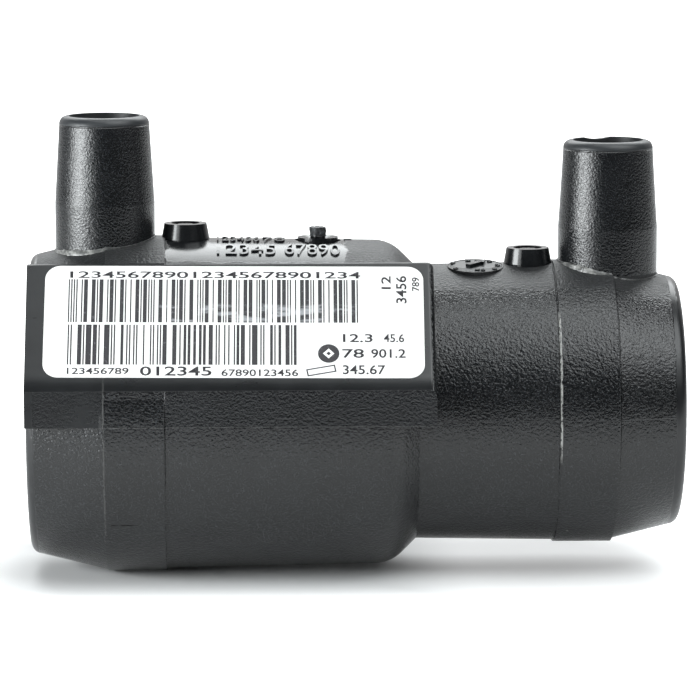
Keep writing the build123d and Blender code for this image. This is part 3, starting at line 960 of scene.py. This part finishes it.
class COUPLER_OT_raised_figures(bpy.types.Operator):
    """Raise counting figures on the large barrel and on the date dial, with the dial's arrow"""

    bl_idname = "coupler.raised_figures"
    bl_label = "Raised figures"

    def execute(self, context):
        look, relief = context.scene.coupler_moulding, context.scene.coupler_relief
        skin = smooth_polyethylene(look)
        # Rows of figures, each with its box's corners over the barrel, in millimetres.
        rows = (
            ("12345", (-17.8, -7.4), (-10.25, -4.3)),
            ("67890", (-9.1, -7.3), (-1.95, -3.9)),
            ("123456", (-17.8, -2.6), (-12.3, 0.3)),
            ("7", (-11.9, -2.5), (-10.7, 0.3)),
            ("8", (-10.4, -2.5), (-9.0, 0.3)),
        )
        raised = [raise_on_body(figures(*row), relief.figure_height) for row in rows]
        hand_over(join(raised, "barrel_figures"), "barrel_figures", skin)

        deselect()
        bpy.ops.mesh.primitive_plane_add(size=1.0, location=(-0.85 * MM, 0.1 * MM, 0))
        nub = context.object
        nub.scale = (0.95 * MM, 0.5 * MM, 1)
        place_in_mesh(nub)
        hand_over(raise_on_body(nub, 0.14 * MM), "barrel_nub", skin)

        dial = dial_place(relief)
        # The dial's figures, each with its bearing in degrees and its distance from the middle.
        marks = (
            ("1", 107, 2.9),
            ("2", 50, 3.0),
            ("3", 2, 2.85),
            ("45", -80, 2.55),
            ("6", 210, 3.05),
            ("7", 158, 3.1),
            ("8", -38, 3.0),
        )
        half_width, half_height = 0.34, 0.42
        pieces = []
        for text, bearing, reach in marks:
            turn = math.radians(bearing)
            x, y = reach * math.cos(turn), reach * math.sin(turn)
            half = half_width * len(text)
            mark = figures(text, (x - half, y - half_height), (x + half, y + half_height), 0, 0.01)
            place_in_mesh(mark, dial)
            thicken(mark, 0.2 * MM, 0.7)
            pieces.append(mark)
        hand_over(join(pieces, "dial_figures"), "dial_figures", skin)

        # The dial's arrow: a bar with a wedge for its head, standing off the disc.
        deselect()
        bpy.ops.mesh.primitive_plane_add(size=1.0)
        arrow = context.object
        bpy.ops.object.mode_set(mode="EDIT")
        bpy.ops.mesh.select_all(action="SELECT")
        bpy.ops.transform.resize(value=(2.3 * MM, 0.72 * MM, 1))
        bpy.ops.mesh.select_mode(type="EDGE")
        bpy.ops.mesh.select_all(action="DESELECT")
        bpy.ops.object.mode_set(mode="OBJECT")
        for edge in arrow.data.edges:
            ends = [arrow.data.vertices[i].co for i in edge.vertices]
            edge.select = all(end.x > 1.0 * MM for end in ends)
        bpy.ops.object.mode_set(mode="EDIT")
        bpy.ops.mesh.extrude_region_move(TRANSFORM_OT_translate={"value": (0.02 * MM, 0, 0)})
        bpy.ops.transform.resize(value=(1, 2.1, 1))
        bpy.ops.mesh.extrude_region_move(TRANSFORM_OT_translate={"value": (1.2 * MM, 0, 0)})
        bpy.ops.transform.resize(value=(1, 0.12, 1))
        bpy.ops.mesh.select_mode(type="VERT")
        bpy.ops.object.mode_set(mode="OBJECT")
        close_and_face_out(arrow)
        swing = Matrix.Translation((-0.25 * MM, 0.2 * MM, 0)) @ Matrix.Rotation(math.radians(48), 4, "Z")
        place_in_mesh(arrow, dial @ swing)
        turn_up(arrow)
        thicken(arrow, 0.45 * MM, 0.8)
        hand_over(arrow, "dial_arrow", skin)

        deselect()
        bpy.ops.mesh.primitive_circle_add(vertices=96, radius=relief.dial_radius - 0.02 * MM)
        rim = context.object
        in_edit(
            rim,
            lambda: bpy.ops.mesh.extrude_edges_move(),
            lambda: bpy.ops.transform.resize(value=(0.965, 0.965, 1)),
        )
        place_in_mesh(rim, dial)
        close_and_face_out(rim)
        turn_up(rim)
        thicken(rim, 0.07 * MM, 0.5)
        hand_over(rim, "dial_rim", skin)
        return {"FINISHED"}


class COUPLER_OT_moulding_marks(bpy.types.Operator):
    """Leave the moulding's marks: torn gate, parting flash and the sleeves' foot flash"""

    bl_idname = "coupler.moulding_marks"
    bl_label = "Moulding marks"

    def execute(self, context):
        look, relief = context.scene.coupler_moulding, context.scene.coupler_relief

        # The torn end of the gate: a rough dome over the cut-off stub.
        gate_x = relief.gate_x
        top, _ = on_body(gate_x, 0.0)
        deselect()
        bpy.ops.mesh.primitive_cylinder_add(
            vertices=40, radius=1.04 * MM, depth=1.15 * MM, end_fill_type="TRIFAN",
            location=(gate_x, 0, top.z - 0.52 * MM),
        )
        torn = context.object
        place_in_mesh(torn)
        in_edit(torn, lambda: bpy.ops.mesh.subdivide(number_cuts=5))
        tear = bpy.data.textures.new("tear", "CLOUDS")
        tear.noise_scale = 0.55 * MM
        tear.noise_depth = 2
        rough = torn.modifiers.new("tear", "DISPLACE")
        rough.texture = tear
        rough.texture_coords = "LOCAL"
        rough.strength = 0.32 * MM
        rough.mid_level = 0.45
        apply_modifiers(torn)
        smooth(torn, 50)
        hand_over(torn, "gate_break", torn_polyethylene(look))

        # Flash where the two halves of the mould meet, beside both barrels.
        draw = random.Random(5)
        steps, from_mouth = 150, 1.4 * MM
        lines = []
        for side, from_x in ((-1, PAD_END_X + 0.5 * MM), (1, BODY_LOW.x + from_mouth)):
            points, radii = [], []
            for i in range(steps + 1):
                x = from_x + (BODY_HIGH.x - from_mouth - from_x) * i / steps
                thick = relief.flash_width / 2 * draw.uniform(0.75, 1.15)
                place = beside_body(x, 0.02 * MM, side)
                place.y = side * min(abs(place.y), BODY_HIGH.y - thick)
                points.append(place)
                radii.append(thick)
            lines.append(bead("parting_flash", points, radii))
        hand_over(join(lines, "parting_flash"), "parting_flash", smooth_polyethylene(look))

        # A crescent of flash at the foot of each sleeve, widest towards the front left.
        pale_flash = flash_polyethylene(look, relief)
        for name, stem_x, taper in (
            ("sleeve_flash_large", LARGE_TERMINAL_X, 5),
            ("sleeve_flash_small", SMALL_TERMINAL_X, 10),
        ):
            flash = foot_flash(name, stem_x, relief.sleeve_radius, taper, draw)
            hand_over(flash, name, pale_flash)
        return {"FINISHED"}


def coil(start_x, radius, wind):
    """Points of one socket's winding, which starts and ends at the top of the bore."""
    steps = 36 * wind.turns
    points = []
    for i in range(steps + 1):
        turn = 2 * math.pi * wind.turns * i / steps
        x = start_x + wind.turns * wind.pitch * i / steps
        points.append((x, radius * math.sin(turn), radius * math.cos(turn)))
    return points


class COUPLER_OT_windings(bpy.types.Operator):
    """Wind the heating wire in both sockets, with its leads and its link past the stop"""

    bl_idname = "coupler.windings"
    bl_label = "Heating wire"

    def execute(self, context):
        look, wind = context.scene.coupler_moulding, context.scene.coupler_winding
        wire_r = wind.diameter / 2
        large_r, small_r = LARGE_BORE_R + wire_r, SMALL_BORE_R + wire_r
        run = wind.turns * wind.pitch
        large_start = BODY_LOW.x + wind.from_mouth
        small_end = BODY_HIGH.x - wind.from_mouth
        small_start = small_end - run
        straight = 2 * MM
        route = [
            (LARGE_TERMINAL_X, 0.0, large_r),
            ((LARGE_TERMINAL_X + large_start) / 2, 0.0, large_r),
            *coil(large_start, large_r, wind),
            (large_start + run + straight, 0.0, large_r),
            (wire_r, 0.0, large_r),
            (STOP_END_X + (large_r - small_r) / 2, 0.0, small_r),
            (small_start - straight, 0.0, small_r),
            *coil(small_start, small_r, wind),
            ((SMALL_TERMINAL_X + small_end) / 2, 0.0, small_r),
            (SMALL_TERMINAL_X, 0.0, small_r),
        ]
        wire = bead("wound_wire", route, [wire_r] * len(route), 3)
        hand_over(wire, "wound_wire", resistance_wire(look))
        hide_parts("heating_wire")

        # The bed of plastic that each winding is pressed into.
        bedding = smooth_polyethylene(look)
        bed_depth, bed_wall = 0.97 * MM, 0.75 * MM
        for name, start_x, bore_r in (
            ("winding_bed_large", large_start, LARGE_BORE_R),
            ("winding_bed_small", small_start, SMALL_BORE_R),
        ):
            deselect()
            bpy.ops.mesh.primitive_cylinder_add(
                vertices=128, radius=bore_r + bed_depth, depth=run, end_fill_type="NOTHING",
                location=(start_x + run / 2, 0, 0), rotation=(0, math.pi / 2, 0),
            )
            bed = context.object
            place_in_mesh(bed)
            thicken(bed, bed_wall, -1.0)
            smooth(bed, 40)
            hand_over(bed, name, bedding)
        return {"FINISHED"}


class COUPLER_OT_stage(bpy.types.Operator):
    """Set up the white floor, the soft lamps and the camera"""

    bl_idname = "coupler.stage"
    bl_label = "Studio"

    def execute(self, context):
        scene = context.scene
        deselect()
        bpy.ops.mesh.primitive_plane_add(size=1.0, location=(0, 1.335, BODY_LOW.z))
        floor = context.object
        floor.name = "studio_floor"
        floor.scale = (6.0, 3.0, 1.0)
        place_in_mesh(floor)
        paper = Shader("studio_paper")
        paper.dress(Base_Color=(0.84, 0.84, 0.84, 1), Roughness=0.9)
        paper.surface.inputs["Specular IOR Level"].default_value = 0.0
        x, y, _ = paper.split()
        # The paper glows for the camera away from the object, so that its shadow stays.
        open_front = paper.ramp(y, -42 * MM, -12 * MM, 0.5, 0.0)
        open_right = paper.ramp(x, 2 * MM, 16 * MM, 0.0, 0.35)
        off_x = paper.math("SUBTRACT", paper.math("ABSOLUTE", x), BODY_HIGH.x)
        off_y = paper.math("SUBTRACT", paper.math("ABSOLUTE", y), BODY_HIGH.x * 0.3)
        far_x, far_y = paper.ramp(off_x, -2 * MM, 22 * MM), paper.ramp(off_y, 0.0, 22 * MM)
        shown = paper.largest(open_front, open_right, far_x, far_y)
        lit = paper.product(shown, paper.ramp(y, 50 * MM, 600 * MM, 0.8, 1.05))
        # In reflections only a strip of the paper in front of the object glows.
        path = paper.nodes.new("ShaderNodeLightPath")
        mirrored = paper.largest(path.outputs["Is Glossy Ray"], path.outputs["Is Transmission Ray"])
        strip = paper.product(paper.within(y, -85 * MM, -45 * MM, 32 * MM), 0.32)
        glow = paper.weigh(path.outputs["Is Camera Ray"], lit, mirrored, strip)
        paper.feed(paper.surface.inputs["Emission Color"], (1, 1, 1, 1))
        paper.feed(paper.surface.inputs["Emission Strength"], glow)
        floor.data.materials.append(paper.material)

        # Lamps: bearing and elevation in degrees, then distance, width and height in metres, and brightness.
        centre = Vector((0, 0, 0.006))
        for name, azimuth, elevation, away, width, height, brightness in (
            ("softbox_left", -62, 8, 0.31, 0.32, 0.13, 4.4),
            ("softbox_left_core", -64, 8, 0.29, 0.14, 0.11, 13.5),
            ("softbox_right", 44, 54, 0.7, 0.62, 0.42, 4.4),
            ("fill_right", 48, 30, 0.8, 0.5, 0.3, 1.1),
            ("ceiling_light", 10, 86, 0.8, 0.6, 0.34, 3.6),
            ("backlight", 176, 42, 0.8, 0.8, 0.42, 4.8),
        ):
            turn, rise = math.radians(azimuth), math.radians(elevation)
            level = math.cos(rise)
            toward = Vector((math.sin(turn) * level, -math.cos(turn) * level, math.sin(rise)))
            data = bpy.data.lights.new(name, "AREA")
            data.shape = "RECTANGLE"
            data.size, data.size_y = width, height
            data.energy = brightness * math.pi * width * height
            data.color = (0.95, 0.99, 1.0)
            lamp = bpy.data.objects.new(name, data)
            lamp.location = centre + toward * away
            lamp.rotation_euler = toward.to_track_quat("Z", "Y").to_euler()
            lamp.visible_camera = False
            scene.collection.objects.link(lamp)

        # A world that is pale behind the object and dim in front of it, and white to the camera.
        world = bpy.data.worlds.new("studio_world")
        scene.world = world
        world.use_nodes = True
        nodes, links = world.node_tree.nodes, world.node_tree.links
        nodes.clear()
        direction = nodes.new("ShaderNodeTexCoord")
        parts = nodes.new("ShaderNodeSeparateXYZ")
        links.new(direction.outputs["Generated"], parts.inputs[0])
        depth = nodes.new("ShaderNodeMapRange")
        depth.inputs["From Min"].default_value = 0.3
        depth.inputs["From Max"].default_value = 0.9
        depth.inputs["To Min"].default_value = 0.03
        depth.inputs["To Max"].default_value = 0.85
        links.new(parts.outputs["Y"], depth.inputs["Value"])
        path = nodes.new("ShaderNodeLightPath")
        seen = nodes.new("ShaderNodeMath")
        seen.operation = "MAXIMUM"
        links.new(path.outputs["Is Camera Ray"], seen.inputs[0])
        links.new(path.outputs["Is Transmission Ray"], seen.inputs[1])
        strength = nodes.new("ShaderNodeMix")
        links.new(seen.outputs[0], strength.inputs["Factor"])
        links.new(depth.outputs["Result"], strength.inputs["A"])
        strength.inputs["B"].default_value = 1.0
        background = nodes.new("ShaderNodeBackground")
        background.inputs["Color"].default_value = (1, 1, 1, 1)
        links.new(strength.outputs["Result"], background.inputs["Strength"])
        output = nodes.new("ShaderNodeOutputWorld")
        links.new(background.outputs[0], output.inputs["Surface"])

        data = bpy.data.cameras.new("camera")
        data.sensor_width = 36.0
        data.lens = CAMERA_LENS
        data.clip_start, data.clip_end = 0.05, 20.0
        camera = bpy.data.objects.new("camera", data)
        camera.location = CAMERA_PLACE
        camera.rotation_euler = [math.radians(angle) for angle in CAMERA_TURN]
        scene.collection.objects.link(camera)
        scene.camera = camera
        scene.view_settings.view_transform = "Standard"
        return {"FINISHED"}


class COUPLER_PT_panel(bpy.types.Panel):
    """Lists the coupler's groups of pieces and their sizes"""

    bl_label = "Reducer coupler"
    bl_idname = "COUPLER_PT_panel"
    bl_space_type = "VIEW_3D"
    bl_region_type = "UI"
    bl_category = "Coupler"

    def draw(self, context):
        scene = context.scene
        for operator in OPERATORS:
            self.layout.operator(operator.bl_idname)
        for group in GROUPS:
            settings = getattr(scene, group)
            box = self.layout.box()
            for name in settings.__annotations__:
                box.prop(settings, name)


GROUPS = {
    "coupler_moulding": CouplerMoulding,
    "coupler_label": CouplerLabel,
    "coupler_winding": CouplerWinding,
    "coupler_relief": CouplerRelief,
}
OPERATORS = (
    COUPLER_OT_finish,
    COUPLER_OT_label_print,
    COUPLER_OT_raised_figures,
    COUPLER_OT_moulding_marks,
    COUPLER_OT_windings,
    COUPLER_OT_stage,
)


def register():
    for group in GROUPS.values():
        bpy.utils.register_class(group)
    for name, group in GROUPS.items():
        setattr(bpy.types.Scene, name, bpy.props.PointerProperty(type=group))
    for operator in OPERATORS:
        bpy.utils.register_class(operator)
    bpy.utils.register_class(COUPLER_PT_panel)


def unregister():
    bpy.utils.unregister_class(COUPLER_PT_panel)
    for operator in reversed(OPERATORS):
        bpy.utils.unregister_class(operator)
    for name, group in reversed(list(GROUPS.items())):
        delattr(bpy.types.Scene, name)
        bpy.utils.unregister_class(group)


def main():
    register()
    bpy.ops.coupler.finish()
    bpy.ops.coupler.label_print()
    bpy.ops.coupler.raised_figures()
    bpy.ops.coupler.moulding_marks()
    bpy.ops.coupler.windings()
    bpy.ops.coupler.stage()


if __name__ == "__main__":
    main()
